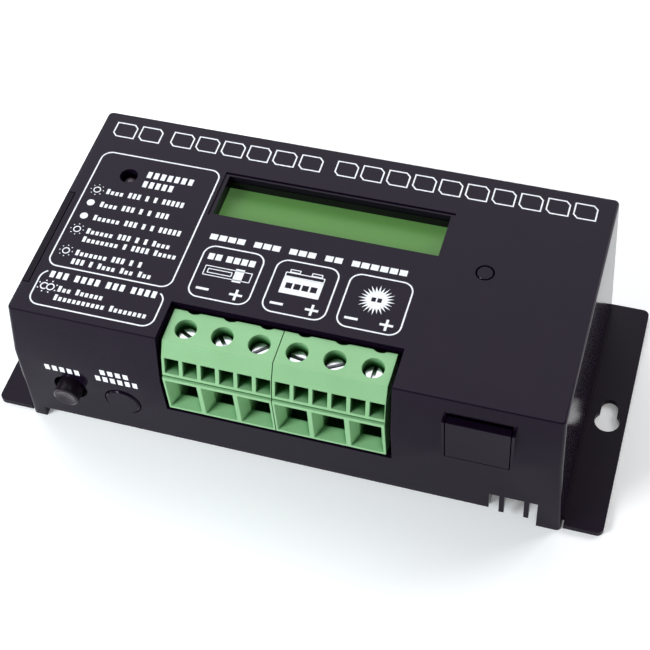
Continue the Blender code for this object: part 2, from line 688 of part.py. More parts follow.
def block_cutters(side, index, x):
    """Everything that is cut from a terminal block for one pole."""
    tag = f"{side}_{index}"
    half = CAGE_HALF_WIDTH + GAP
    cage_front = SCREW_Y - CAGE_HALF_DEPTH - GAP
    below = BOARD_TOP - REACH
    cage_room = box(
        f"cage_room_{tag}",
        (x - half, cage_front, below),
        (x + half, BAR_LEG_BACK + GAP, CAGE_TOP + CAGE_TRAVEL + GAP),
    )
    wire_room = box(
        f"wire_room_{tag}",
        (x - WIRE_HOLE_HALF_WIDTH - GAP, WIRE_ROOM_FRONT, below),
        (x + WIRE_HOLE_HALF_WIDTH + GAP, cage_front + REACH, WIRE_HOLE_TOP + GAP),
    )
    wire_hole = box(
        f"wire_hole_{tag}",
        (x - WIRE_HOLE_HALF_WIDTH, FUNNEL_BACK - REACH, WIRE_HOLE_LOW),
        (x + WIRE_HOLE_HALF_WIDTH, WIRE_ROOM_FRONT + REACH, WIRE_HOLE_TOP),
    )
    above = BLOCK_TOP + REACH
    seat = (x, SCREW_Y, SCREW_SEAT)
    well = cylinder(f"screw_well_{tag}", WELL_RADIUS, seat, above - SCREW_SEAT)
    bore = cylinder(
        f"screw_bore_{tag}",
        SCREW_STEM_RADIUS + GAP,
        (x, SCREW_Y, CAGE_TOP),
        SCREW_SEAT + REACH - CAGE_TOP,
        steps=POST_STEPS,
    )
    scallop = cylinder(
        f"scallop_{tag}",
        SCALLOP_RADIUS,
        (x + SCALLOP_SHIFT, BLOCK_BACK + SCALLOP_RADIUS - SCALLOP_DEPTH, BLOCK_TOP - SCALLOP_HEIGHT),
        SCALLOP_HEIGHT + REACH,
        steps=POST_STEPS,
    )
    funnel = make_funnel(f"funnel_{tag}", x)
    cutters = [funnel, cage_room, wire_room, wire_hole, well, bore, scallop]
    for half_name, shift in (("a", PROBE_SHIFT - PITCH / 4), ("b", PROBE_SHIFT + PITCH / 4)):
        low = (x + shift - PROBE_HALF_WIDTH, BLOCK_FACE - REACH, PROBE_LOW)
        high = (x + shift + PROBE_HALF_WIDTH, PROBE_BACK, PROBE_TOP)
        cutters.append(box(f"probe_{tag}_{half_name}", low, high))
    return cutters


def make_terminal_blocks():
    outline = [
        (BLOCK_BACK, ON_BOARD),
        (BLOCK_BACK, BLOCK_TOP),
        BLOCK_BROW,
        BLOCK_SHOULDER,
        BLOCK_LEDGE,
        *BLOCK_GROOVE,
        (BLOCK_FACE, BLOCK_FACE_TOP),
        (BLOCK_FACE, BLOCK_LIP),
        (BLOCK_FOOT_FRONT, BLOCK_LIP),
        (BLOCK_FOOT_FRONT, ON_BOARD),
    ]
    for side, centre in zip(("left", "right"), BLOCK_CENTRES):
        low, high = centre - BLOCK_WIDTH / 2, centre + BLOCK_WIDTH / 2
        block = extruded(f"terminal_block_{side}", outline, low, high, GREEN_PLASTIC, "X")
        for i in range(POLES_PER_BLOCK):
            x = centre + (i - (POLES_PER_BLOCK - 1) / 2) * PITCH
            cut(block, *block_cutters(side, i, x))


def make_clamps():
    """Slotted screw, rising cage and contact pin of each pole."""
    xs = pole_xs()
    first = xs[0]
    head = SCREW_SEAT + GAP
    profile = [
        (0.0, SCREW_HEAD_HEIGHT),
        (SCREW_HEAD_RADIUS - SCREW_HEAD_BEVEL, SCREW_HEAD_HEIGHT),
        (SCREW_HEAD_RADIUS, SCREW_HEAD_HEIGHT - SCREW_HEAD_BEVEL),
        (SCREW_HEAD_RADIUS, 0.0),
        (SCREW_STEM_RADIUS, 0.0),
        (SCREW_STEM_RADIUS, SCREW_TIP_BEVEL - SCREW_STEM_LENGTH),
        (SCREW_STEM_RADIUS - SCREW_TIP_BEVEL, -SCREW_STEM_LENGTH),
        (0.0, -SCREW_STEM_LENGTH),
    ]
    screw = turned("clamp_screw_1", profile, (first, SCREW_Y, head), STEEL)
    half_slot, reach = SCREW_SLOT_WIDTH / 2, SCREW_HEAD_RADIUS + REACH
    head_top = head + SCREW_HEAD_HEIGHT
    slot_low = (first - reach, SCREW_Y - half_slot, head_top - SCREW_SLOT_DEPTH)
    cut(screw, box("screw_slot", slot_low, (first + reach, SCREW_Y + half_slot, head_top + REACH)))
    baked(screw)

    cage = box(
        "clamp_cage_1",
        (first - CAGE_HALF_WIDTH, SCREW_Y - CAGE_HALF_DEPTH, CAGE_LOW),
        (first + CAGE_HALF_WIDTH, SCREW_Y + CAGE_HALF_DEPTH, CAGE_TOP),
        STEEL,
    )
    inside = BAR_HALF_WIDTH + CAGE_SIDE_ROOM
    reach = CAGE_HALF_DEPTH + REACH
    thread = (first, SCREW_Y, CAGE_ROOF - REACH)
    thread_length = CAGE_TOP - CAGE_ROOF + 2 * REACH
    cut(
        cage,
        box(
            "cage_window",
            (first - inside, SCREW_Y - reach, CAGE_FLOOR),
            (first + inside, SCREW_Y + reach, CAGE_ROOF),
        ),
        cylinder("cage_thread", SCREW_STEM_RADIUS + GAP, thread, thread_length, steps=POST_STEPS),
    )
    baked(cage)

    outline = [
        (SCREW_Y - CAGE_HALF_DEPTH, BAR_LOW),
        (BAR_LEG_FRONT, BAR_LOW),
        (BAR_LEG_FRONT, BAR_LEG_END),
        (BAR_LEG_BACK, BAR_LEG_END),
        (BAR_LEG_BACK, BAR_TOP),
        (SCREW_Y - CAGE_HALF_DEPTH, BAR_TOP),
    ]
    left, right = first - BAR_HALF_WIDTH, first + BAR_HALF_WIDTH
    pin = extruded("contact_pin_1", outline, left, right, BRASS, "X")
    screw.rotation_euler.z = math.radians(SCREW_ANGLES[0])
    for i, x in enumerate(xs[1:], start=2):
        shift = (x - first, 0.0, 0.0)
        spin = math.radians(SCREW_ANGLES[i - 1] - SCREW_ANGLES[0])
        copy_of(screw, f"clamp_screw_{i}", shift, spin)
        copy_of(cage, f"clamp_cage_{i}", shift)
        copy_of(pin, f"contact_pin_{i}", shift)


def centred_box(name, size, low, top, look=None, centre=(DISPLAY_X, DISPLAY_Y)):
    half_x, half_y = size[0] / 2, size[1] / 2
    return box(
        name,
        (centre[0] - half_x, centre[1] - half_y, low),
        (centre[0] + half_x, centre[1] + half_y, top),
        look,
    )


def make_display():
    centred_box("display_board", DISPLAY_BOARD_SIZE, DISPLAY_BOARD_LOW, DISPLAY_BOARD_TOP, CIRCUIT_BOARD)
    centred_box("display_glass", GLASS_SIZE, GLASS_LOW, GLASS_TOP, DISPLAY_GREEN)
    bezel_low = DISPLAY_BOARD_TOP + GAP
    bezel = centred_box("display_bezel", BEZEL_SIZE, bezel_low, BEZEL_TOP, BLACK_FRAME)
    pocket_size = (GLASS_SIZE[0] + 2 * GAP, GLASS_SIZE[1] + 2 * GAP)
    cut(
        bezel,
        centred_box("bezel_pocket", pocket_size, bezel_low - REACH, BEZEL_TOP - BEZEL_LIP),
        centred_box("bezel_window", BEZEL_WINDOW, bezel_low - REACH, BEZEL_TOP + REACH),
    )
    spacer_top = DISPLAY_BOARD_LOW - GAP
    for i, (side_x, side_y) in enumerate(((-1, -1), (-1, 1), (1, -1), (1, 1))):
        place_x = DISPLAY_X + side_x * SPACER_OFFSET[0]
        place_y = DISPLAY_Y + side_y * SPACER_OFFSET[1]
        cylinder(
            f"display_spacer_{i + 1}",
            SPACER_RADIUS,
            (place_x, place_y, ON_BOARD),
            spacer_top - ON_BOARD,
            NYLON,
            steps=SPACER_SIDES,
        )
    header_centre = (DISPLAY_X + HEADER_OFFSET[0], DISPLAY_Y + HEADER_OFFSET[1])
    centred_box("display_header", HEADER_SIZE, ON_BOARD, spacer_top, EPOXY, header_centre)


def make_status_led():
    dome = [(x, y) for y, x in arc((LED_TOP - LED_RADIUS, 0.0), LED_RADIUS, 0, 90, 5)]
    dome[0] = (0.0, LED_TOP)
    collar, collar_top = LED_RADIUS + LED_COLLAR, LED_LOW + LED_COLLAR_HEIGHT
    profile = dome + [(LED_RADIUS, collar_top), (collar, collar_top), (collar, LED_LOW), (0.0, LED_LOW)]
    turned("status_led", profile, (LED_X, LED_Y, 0.0), LED_RESIN, steps=POST_STEPS)
    length = LED_LOW - GAP - ON_BOARD
    holder = cylinder("led_holder", collar, (LED_X, LED_Y, ON_BOARD), length, NYLON, steps=HOLE_STEPS)
    start = (LED_X, LED_Y, ON_BOARD - REACH)
    cut(holder, cylinder("led_leads_room", LED_LEADS_RADIUS, start, length + 2 * REACH, steps=HOLE_STEPS))


def make_top_plug():
    radius, edge = TOP_PLUG_HOLE_RADIUS - RING_GAP, TOP_PLUG_EDGE
    flange = TOP_PLUG_HOLE_RADIUS + TOP_PLUG_FLANGE
    under = CEILING - GAP
    low = under - TOP_PLUG_FLANGE_THICKNESS
    profile = [(0.0, CASE_TOP), (radius - edge, CASE_TOP), (radius, CASE_TOP - edge), (radius, under)]
    profile += [(flange, under), (flange, low), (0.0, low)]
    turned("top_blank_plug", profile, (TOP_PLUG_X, TOP_PLUG_Y, 0.0), BLACK_PLASTIC)


def make_sensor_plug():
    """A disc that fills the unused socket of the temperature probe and stands a little proud."""
    radius, edge = SENSOR_HOLE_RADIUS - RING_GAP, SENSOR_PLUG_EDGE
    plug_back = CASE_FRONT + WALL + GAP
    reach = WALL + GAP + SENSOR_PLUG_PROUD
    profile = [(0.0, reach), (radius - edge, reach), (radius, reach - edge), (radius, 0.0), (0.0, 0.0)]
    facing = (math.pi / 2, 0.0, 0.0)
    turned("sensor_blank_plug", profile, (SENSOR_X, plug_back, SENSOR_Z), BLACK_PLASTIC, facing)


def make_reset_switch():
    socket = RESET_STEM_RADIUS + GAP
    profile = [(radius, RESET_BUTTON_LENGTH - depth) for radius, depth in RESET_BUTTON_DISH]
    profile += [(RESET_BUTTON_RADIUS, 0.0), (socket, 0.0)]
    profile += [(socket, RESET_SOCKET_DEPTH), (0.0, RESET_SOCKET_DEPTH)]
    facing = (math.pi / 2, 0.0, 0.0)
    turned("reset_button", profile, (RESET_X, RESET_BUTTON_BACK, RESET_Z), BLACK_PLASTIC, facing)
    front_cylinder(
        "reset_switch_stem", RESET_STEM_RADIUS, RESET_X, RESET_Z, RESET_STEM_FRONT, RESET_STEM_BACK, EPOXY
    )
    body = box(
        "reset_switch_body",
        (RESET_X - SWITCH_HALF_WIDTH, SWITCH_FRONT, ON_BOARD),
        (RESET_X + SWITCH_HALF_WIDTH, SWITCH_BACK, SWITCH_TOP),
        EPOXY,
    )
    cut(
        body,
        front_cylinder("switch_hole", socket, RESET_X, RESET_Z, SWITCH_FRONT - REACH, SWITCH_HOLE_BACK),
    )


def make_front_panel():
    box(
        "front_blank_panel",
        (PANEL_LEFT + GAP, CASE_FRONT, PANEL_LOW + GAP),
        (PANEL_RIGHT - GAP, CASE_FRONT + WALL, PANEL_TOP),
        BLACK_PLASTIC,
    )


def make_side_panel():
    """A strip along the top corner that continues the case's own outer surface."""
    panel = case_body(
        "side_blank_panel", 0.0, 0.0, CASE_TOP, CASE_CORNER_RADIUS, CASE_EDGE_RADIUS, BLACK_PLASTIC
    )
    smooth(panel.data)
    share = box(
        "side_panel_share",
        (-CASE_TOP_HALF_WIDTH - CASE_FLARE - OVERSHOOT, SIDE_PANEL_FRONT + GAP, SIDE_PANEL_LOW + GAP),
        (SIDE_PANEL_INNER - GAP, SIDE_PANEL_BACK - GAP, CASE_TOP + OVERSHOOT),
    )
    combine(panel, [share], "INTERSECT")


def make_heat_sink():
    sink = box(
        "heat_sink",
        (-HEAT_SINK_HALF_WIDTH, HEAT_SINK_FRONT, ON_BOARD),
        (HEAT_SINK_HALF_WIDTH, HEAT_SINK_BACK, HEAT_SINK_TOP),
        ALUMINIUM,
    )
    step = (2 * HEAT_SINK_HALF_WIDTH - HEAT_SINK_FIN) / HEAT_SINK_SLOTS
    for i in range(HEAT_SINK_SLOTS):
        left = -HEAT_SINK_HALF_WIDTH + step * i + HEAT_SINK_FIN
        right = -HEAT_SINK_HALF_WIDTH + step * (i + 1)
        cut(
            sink,
            box(
                f"sink_slot_{i}",
                (left, HEAT_SINK_FRONT + HEAT_SINK_PLATE, ON_BOARD - REACH),
                (right, HEAT_SINK_BACK + REACH, HEAT_SINK_TOP + REACH),
            ),
        )


def make_transistor(name, x, back):
    """An upright TO-220 package on its three leads, with its tab to the back."""
    low = ON_BOARD + PACKAGE_LIFT
    left, right = x - PACKAGE_HALF_WIDTH, x + PACKAGE_HALF_WIDTH
    body = box(
        name,
        (left, back - PACKAGE_FRONT, low),
        (right, back - PACKAGE_REAR, low + PACKAGE_HEIGHT),
        EPOXY,
    )
    tab = box(name + "_tab", (left, back - TAB_THICKNESS, low + TAB_LOW), (right, back, low + TAB_TOP))
    hole = front_cylinder(
        name + "_tab_hole", TAB_HOLE_RADIUS, x, low + TAB_HOLE_HEIGHT, back - OVERSHOOT, back + REACH
    )
    leads = []
    for i, shift in enumerate((-LEAD_PITCH, 0.0, LEAD_PITCH)):
        start = (x + shift - LEAD_HALF_WIDTH, back - LEAD_FRONT, ON_BOARD)
        end = (x + shift + LEAD_HALF_WIDTH, back - LEAD_REAR, low + REACH)
        leads.append(box(f"{name}_lead_{i}", start, end))
    join(body, tab, *leads)
    cut(body, hole)
    return baked(body)


def make_transistors():
    back = HEAT_SINK_FRONT - GAP
    first = make_transistor("transistor_1", TRANSISTOR_XS[0], back)
    for i, x in enumerate(TRANSISTOR_XS[1:], start=2):
        copy_of(first, f"transistor_{i}", (x - TRANSISTOR_XS[0], 0.0, 0.0))
    make_transistor("voltage_regulator", REGULATOR_X, REGULATOR_BACK)


def make_capacitors():
    profile = [(radius, CAPACITOR_HEIGHT - depth) for radius, depth in CAPACITOR_RIM]
    profile += CAPACITOR_FOOT
    for i, (x, y) in enumerate(CAPACITOR_PLACES):
        turned(f"capacitor_{i + 1}", profile, (x, y, ON_BOARD), SLEEVE)


def make_logic_parts():
    """Microcontroller, its crystal and the current-sensing strap."""
    chip_top = ON_BOARD + CHIP_HEIGHT
    chip = centred_box("microcontroller", CHIP_SIZE, ON_BOARD, chip_top, EPOXY, CHIP_CENTRE)
    mark = (CHIP_MARK_X, CHIP_CENTRE[1], chip_top - CHIP_MARK_DEPTH)
    cut(chip, cylinder("chip_mark", CHIP_MARK_RADIUS, mark, CHIP_MARK_DEPTH + REACH, steps=HOLE_STEPS))

    can_top = ON_BOARD + CRYSTAL_HEIGHT
    can = centred_box("crystal", CRYSTAL_SIZE, ON_BOARD, can_top, STEEL, CRYSTAL_CENTRE)
    rounding = can.modifiers.new("round_ends", "BEVEL")
    rounding.width = CRYSTAL_ROUNDING * MM
    rounding.segments = 2

    strap_top = ON_BOARD + STRAP_HEIGHT
    strap = box(
        "shunt_strap",
        (STRAP_LEFT, STRAP_FRONT, ON_BOARD),
        (STRAP_RIGHT, STRAP_BACK, strap_top),
        BRASS,
    )
    arch = box(
        "strap_arch",
        (STRAP_LEFT + STRAP_THICKNESS, STRAP_FRONT - REACH, ON_BOARD - REACH),
        (STRAP_RIGHT - STRAP_THICKNESS, STRAP_BACK + REACH, strap_top - STRAP_THICKNESS),
    )
    cut(strap, arch)


make_cover()
make_base_plate()
make_cover_screws()
make_board_screws()
make_main_board()
make_terminal_blocks()
make_clamps()
make_display()
make_status_led()
make_top_plug()
make_sensor_plug()
make_reset_switch()
make_front_panel()
make_side_panel()
make_heat_sink()
make_transistors()
make_capacitors()
make_logic_parts()
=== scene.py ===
"""Looks of the solar charge controller: materials, print, floor, light and camera.

Lengths are in millimetres and turned into metres with MM. The frame is the part's own: +X along the
case, +Y away from the wire terminals, +Z out through the display.
"""

import math

import bmesh
import bpy
from mathutils import Matrix, Quaternion, Vector


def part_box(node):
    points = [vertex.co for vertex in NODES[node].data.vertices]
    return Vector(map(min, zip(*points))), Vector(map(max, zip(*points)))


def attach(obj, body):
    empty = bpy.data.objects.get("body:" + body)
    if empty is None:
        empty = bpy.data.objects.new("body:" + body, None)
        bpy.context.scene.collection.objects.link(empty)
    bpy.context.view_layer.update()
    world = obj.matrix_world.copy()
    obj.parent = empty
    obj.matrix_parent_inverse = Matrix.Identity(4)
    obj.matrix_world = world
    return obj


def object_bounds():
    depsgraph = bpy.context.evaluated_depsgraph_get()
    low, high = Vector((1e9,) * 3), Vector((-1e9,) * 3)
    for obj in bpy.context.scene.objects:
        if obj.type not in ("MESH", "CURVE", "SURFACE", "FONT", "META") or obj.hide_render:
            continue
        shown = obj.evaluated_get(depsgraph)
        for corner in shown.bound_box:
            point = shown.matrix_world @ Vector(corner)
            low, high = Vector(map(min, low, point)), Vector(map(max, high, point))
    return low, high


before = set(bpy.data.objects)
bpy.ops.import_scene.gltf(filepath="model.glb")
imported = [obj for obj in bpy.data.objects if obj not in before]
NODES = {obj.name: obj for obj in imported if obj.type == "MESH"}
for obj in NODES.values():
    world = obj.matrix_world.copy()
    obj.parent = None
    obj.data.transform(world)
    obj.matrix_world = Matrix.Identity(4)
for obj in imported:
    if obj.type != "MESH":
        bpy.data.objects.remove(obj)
cad_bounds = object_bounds()

MM = 0.001

# Camera.
CAMERA_PLACE = (92.73, -233.68, 349.25)
CAMERA_AIM = (-3.81, 10.18, 0.0)
CAMERA_ROLL = math.radians(-6.114)
CAMERA_LENS = 81.07
CAMERA_NEAR = 10.0

# Studio. Each brightness is a run of (alignment with the direction before it, value) stops.
FLOOR_HALF_SIDE = 3000.0
FLOOR_GLOW = 0.18
UP = (0.0, 0.0, 1.0)
WALL_BRIGHTNESS = ((0.02, 0.95), (0.22, 0.42), (0.6, 0.34))
DARK_CEILING = (-0.2, -0.42, 0.885)
CEILING_BRIGHTNESS = ((0.6, (0.98, 0.99, 1.0)), (0.92, (0.10, 0.10, 0.11)))
# name, place, size, power, colour
LIGHTS = (
    ("key", (-420, 720, 864), (1310, 980), 10.0, (0.97, 1.0, 1.03)),
    ("side", (700, 670, 720), (500, 500), 5.0, (1.0, 1.0, 1.0)),
    ("fill", (-450, -450, 400), (300, 300), 5.0, (0.94, 1.0, 1.03)),
)

# Print: how thick the ink is and how deep it sits, the width of a line, the steps of arcs, discs and
# dots, the least radius of a frame's inner corner, the height of a small block beside a tall one, and
# how a hollow block's cut shrinks inwards.
INK_THICKNESS = 0.02
INK_SINK = 0.005
LINE = 0.42
CORNER_STEPS = 6
OPEN_ARC_STEPS = 20
DISC_STEPS = 24
DOT_STEPS = 8
LEAST_RADIUS = 0.05
SMALL_BLOCK = 0.68
CUT_SHRINK = 0.6

# Surfaces the print lies on.
TOP_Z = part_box("top_cover")[1].z / MM
FRONT_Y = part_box("front_blank_panel")[0].y / MM

# Looks: how much finer metal scratches are along each axis, and the rays that measure openness for the
# painted recess shade.
SCRATCH_STRETCH = (40.0, 1.0, 1.0)
OPENNESS_SAMPLES = 16

# Edges.
WELD_DISTANCE = 0.01
BEVEL_SEGMENTS = 2
BEVEL_FROM_ANGLE = math.radians(40)
SMOOTH_UP_TO_ANGLE = math.radians(32)
FLAT_FACE_WEIGHT = 90


# ---------------------------------------------------------------- node helpers


def new_material(name):
    made = bpy.data.materials.new(name)
    made.use_nodes = True
    tree = made.node_tree
    return made, tree, tree.nodes["Principled BSDF"]


def set_inputs(shader, **values):
    for key, value in values.items():
        socket = shader.inputs[key.replace("_", " ")]
        socket.default_value = (*value, 1.0) if isinstance(value, tuple) else value


def place_vector(tree, stretch=(1.0, 1.0, 1.0)):
    """Texture space in metres, fixed to the object."""
    source = tree.nodes.new("ShaderNodeTexCoord")
    mapping = tree.nodes.new("ShaderNodeMapping")
    mapping.inputs["Scale"].default_value = stretch
    tree.links.new(source.outputs["Object"], mapping.inputs["Vector"])
    return mapping.outputs["Vector"]


def noise(tree, vector, scale, detail=3.0, roughness=0.5):
    node = tree.nodes.new("ShaderNodeTexNoise")
    node.inputs["Scale"].default_value = scale
    node.inputs["Detail"].default_value = detail
    node.inputs["Roughness"].default_value = roughness
    tree.links.new(vector, node.inputs["Vector"])
    return node.outputs["Fac"]


def ramp(tree, fac, stops):
    """A colour ramp from (position, colour or grey) stops."""
    node = tree.nodes.new("ShaderNodeValToRGB")
    elements = node.color_ramp.elements
    while len(elements) < len(stops):
        elements.new(0.5)
    for element, (position, value) in zip(elements, stops):
        element.position = position
        color = value if isinstance(value, tuple) else (value, value, value)
        element.color = (*color, 1.0)
    tree.links.new(fac, node.inputs["Fac"])
    return node.outputs["Color"]


def bump(tree, height, strength, distance, normal=None):
    node = tree.nodes.new("ShaderNodeBump")
    node.inputs["Strength"].default_value = strength
    node.inputs["Distance"].default_value = distance * MM
    tree.links.new(height, node.inputs["Height"])
    if normal is not None:
        tree.links.new(normal, node.inputs["Normal"])
    return node.outputs["Normal"]


def painted_recess_shade(tree, color, reach, stops):
    """Painted shade: a colour that darkens where other surfaces close in on it within a short reach,
    standing in for the shade that falls in recesses.
    """
    openness = tree.nodes.new("ShaderNodeAmbientOcclusion")
    openness.samples = OPENNESS_SAMPLES
    openness.inputs["Distance"].default_value = reach * MM
    mix = tree.nodes.new("ShaderNodeMix")
    mix.data_type = "RGBA"
    mix.blend_type = "MULTIPLY"
    mix.inputs["Factor"].default_value = 1.0
    tree.links.new(color, mix.inputs["A"])
    tree.links.new(ramp(tree, openness.outputs["AO"], stops), mix.inputs["B"])
    return mix.outputs["Result"]


def moulded(name, dark, light, rough, grain=5200.0, depth=0.012, painted_shade=None, **settings):
    """Moulded plastic: a faint mottle, a spark-eroded grain, gloss that varies with it, and, when asked,
    painted shade in its recesses.
    """
    made, tree, shader = new_material(name)
    vector = place_vector(tree)
    mottle = noise(tree, vector, scale=90.0, detail=4.0)
    fine = noise(tree, vector, scale=grain, detail=2.0, roughness=0.6)
    color = ramp(tree, mottle, ((0.3, dark), (0.7, light)))
    # Painted shade: the colour darkens in recesses, where shade falls.
    if painted_shade:
        color = painted_recess_shade(tree, color, *painted_shade)
    tree.links.new(color, shader.inputs["Base Color"])
    gloss = ramp(tree, fine, ((0.3, rough - 0.05), (0.7, rough + 0.07)))
    tree.links.new(gloss, shader.inputs["Roughness"])
    waves = noise(tree, vector, scale=55.0, detail=2.0)
    swell = bump(tree, waves, strength=0.1, distance=0.05)
    relief = bump(tree, fine, strength=0.5, distance=depth, normal=swell)
    tree.links.new(relief, shader.inputs["Normal"])
    set_inputs(shader, **settings)
    return made


def brushed(name, dark, light, rough):
    """Metal with fine parallel scratches."""
    made, tree, shader = new_material(name)
    scratch = noise(tree, place_vector(tree, SCRATCH_STRETCH), scale=900.0, roughness=0.6)
    spots = noise(tree, place_vector(tree), scale=700.0)
    tree.links.new(ramp(tree, spots, ((0.3, dark), (0.7, light))), shader.inputs["Base Color"])
    gloss = ramp(tree, scratch, ((0.3, rough - 0.08), (0.7, rough + 0.1)))
    tree.links.new(gloss, shader.inputs["Roughness"])
    relief = bump(tree, scratch, strength=0.35, distance=0.01)
    tree.links.new(relief, shader.inputs["Normal"])
    set_inputs(shader, Metallic=1.0)
    return made


# Tint of the gloss on the black surfaces.
CASE_TINT = (0.97, 0.90, 1.0)
# Painted shade of the green plastic in its recesses: (openness, multiplier) stops, and their reach.
PAINTED_SHADE_REACH = 4.5
PAINTED_SHADE_GREEN = (
    (0.30, (0.02, 0.09, 0.02)),
    (0.52, (0.18, 0.38, 0.20)),
    (0.64, (0.82, 0.88, 0.88)),
    (0.82, (1.0, 1.0, 1.0)),
)


def make_looks():
    looks = {}
    looks["black_plastic"] = moulded(
        "case_plastic", (0.0060, 0.0028, 0.0092), (0.0074, 0.0037, 0.0112), 0.13, depth=0.006,
        IOR=1.20, Specular_Tint=CASE_TINT,
    )
    looks["strip_plastic"] = moulded(
        "strip_plastic", (0.0050, 0.0025, 0.0070), (0.0062, 0.0032, 0.0085), 0.20, depth=0.006,
        IOR=1.16, Specular_Tint=CASE_TINT,
    )
    looks["button_plastic"] = moulded(
        "button_plastic", (0.0100, 0.0065, 0.0110), (0.0130, 0.0090, 0.0140), 0.22, depth=0.006,
        IOR=1.36, Specular_Tint=CASE_TINT,
    )
    looks["black_metal"] = moulded(
        "painted_steel", (0.0060, 0.0024, 0.0082), (0.0076, 0.0034, 0.0104), 0.36, grain=3600.0,
        IOR=1.20, Specular_Tint=CASE_TINT,
    )
    looks["display_frame"] = moulded(
        "display_frame", (0.003, 0.003, 0.003), (0.005, 0.005, 0.005), 0.5, IOR=1.3
    )
    # The green plastic carries painted shade in its recesses.
    looks["green_plastic"] = moulded(
        "terminal_plastic", (0.226, 0.446, 0.216), (0.246, 0.476, 0.236), 0.46, grain=4200.0,
        painted_shade=(PAINTED_SHADE_REACH, PAINTED_SHADE_GREEN), IOR=1.4,
    )
    looks["nylon"] = moulded("nylon", (0.70, 0.70, 0.66), (0.78, 0.78, 0.74), 0.5)
    looks["chip_epoxy"] = moulded("chip_epoxy", (0.014, 0.014, 0.015), (0.022, 0.022, 0.023), 0.55)
    looks["circuit_board"] = moulded(
        "circuit_board", (0.010, 0.085, 0.030), (0.016, 0.120, 0.040), 0.3, grain=1500.0
    )
    looks["capacitor_sleeve"] = moulded(
        "capacitor_sleeve", (0.012, 0.016, 0.05), (0.018, 0.024, 0.07), 0.3
    )
    looks["steel"] = brushed("screw_steel", (0.36, 0.36, 0.37), (0.50, 0.50, 0.52), 0.14)
    looks["tinned_brass"] = brushed("tinned_brass", (0.62, 0.56, 0.42), (0.74, 0.68, 0.52), 0.32)
    looks["aluminium"] = brushed("aluminium", (0.60, 0.60, 0.62), (0.72, 0.72, 0.74), 0.36)
    looks["led_resin"] = moulded(
        "led_resin", (0.07, 0.05, 0.07), (0.10, 0.08, 0.10), 0.2, IOR=1.4
    )
    looks["display_glass"] = display_look()
    looks["ink"] = ink_look()
    return looks


def display_look():
    """The green cell: a little uneven, finely frosted, with a faint painted glow that lifts its shaded
    parts, though the cell gives no light.
    """
    made, tree, shader = new_material("display_cell")
    vector = place_vector(tree)
    cloud = noise(tree, vector, scale=28.0)
    green = ramp(tree, cloud, ((0.3, (0.066, 0.176, 0.032)), (0.7, (0.077, 0.197, 0.039))))
    tree.links.new(green, shader.inputs["Base Color"])
    fine = noise(tree, vector, scale=2500.0, detail=2.0)
    tree.links.new(ramp(tree, fine, ((0.3, 0.28), (0.7, 0.36))), shader.inputs["Roughness"])
    tree.links.new(bump(tree, fine, strength=0.2, distance=0.004), shader.inputs["Normal"])
    # Painted light: the emission brightens the unlit cell where the window's walls shade it.
    set_inputs(shader, IOR=1.25, Emission_Color=(0.040, 0.090, 0.031), Emission_Strength=1.0)
    return made


def ink_look():
    """White screen print, slightly thin in places."""
    made, tree, shader = new_material("white_print")
    vector = place_vector(tree)
    cover = noise(tree, vector, scale=1400.0)
    tree.links.new(
        ramp(tree, cover, ((0.25, (0.66, 0.67, 0.71)), (0.6, (0.84, 0.85, 0.88)))),
        shader.inputs["Base Color"],
    )
    fine = noise(tree, vector, scale=5000.0, detail=2.0)
    tree.links.new(ramp(tree, fine, ((0.3, 0.5), (0.7, 0.62))), shader.inputs["Roughness"])
    tree.links.new(bump(tree, fine, strength=0.3, distance=0.006), shader.inputs["Normal"])
    return made


# ---------------------------------------------------------------- CAD nodes


def softened_group():
    """Shades a mesh smooth except at its corners."""
    group = bpy.data.node_groups.new("shade_smooth_by_angle", "GeometryNodeTree")
    group.interface.new_socket("Geometry", in_out="INPUT", socket_type="NodeSocketGeometry")
    group.interface.new_socket("Geometry", in_out="OUTPUT", socket_type="NodeSocketGeometry")
    nodes, links = group.nodes, group.links
    start, end = nodes.new("NodeGroupInput"), nodes.new("NodeGroupOutput")
    faces = nodes.new("GeometryNodeSetShadeSmooth")
    edges = nodes.new("GeometryNodeSetShadeSmooth")
    edges.domain = "EDGE"
    angle = nodes.new("GeometryNodeInputMeshEdgeAngle")
    limit = nodes.new("FunctionNodeCompare")
    limit.data_type = "FLOAT"
    limit.operation = "LESS_EQUAL"
    limit.inputs["B"].default_value = SMOOTH_UP_TO_ANGLE
    links.new(start.outputs[0], faces.inputs["Geometry"])
    links.new(faces.outputs["Geometry"], edges.inputs["Geometry"])
    links.new(angle.outputs["Unsigned Angle"], limit.inputs["A"])
    links.new(limit.outputs["Result"], edges.inputs["Shade Smooth"])
    links.new(edges.outputs["Geometry"], end.inputs[0])
    return group


SOFTEN = softened_group()


def soften(piece, bevel):
    """Rounds a piece's hard edges a little and shades its curves smooth, without moving its faces."""
    weld = piece.modifiers.new("weld", "WELD")
    weld.merge_threshold = WELD_DISTANCE * MM
    if bevel:
        edge = piece.modifiers.new("edges", "BEVEL")
        edge.width = bevel * MM
        edge.segments = BEVEL_SEGMENTS
        edge.limit_method = "ANGLE"
        edge.angle_limit = BEVEL_FROM_ANGLE
    smooth = piece.modifiers.new("smooth", "NODES")
    smooth.node_group = SOFTEN
    flat = piece.modifiers.new("flat_faces", "WEIGHTED_NORMAL")
    flat.mode = "FACE_AREA"
    flat.weight = FLAT_FACE_WEIGHT
    flat.keep_sharp = True


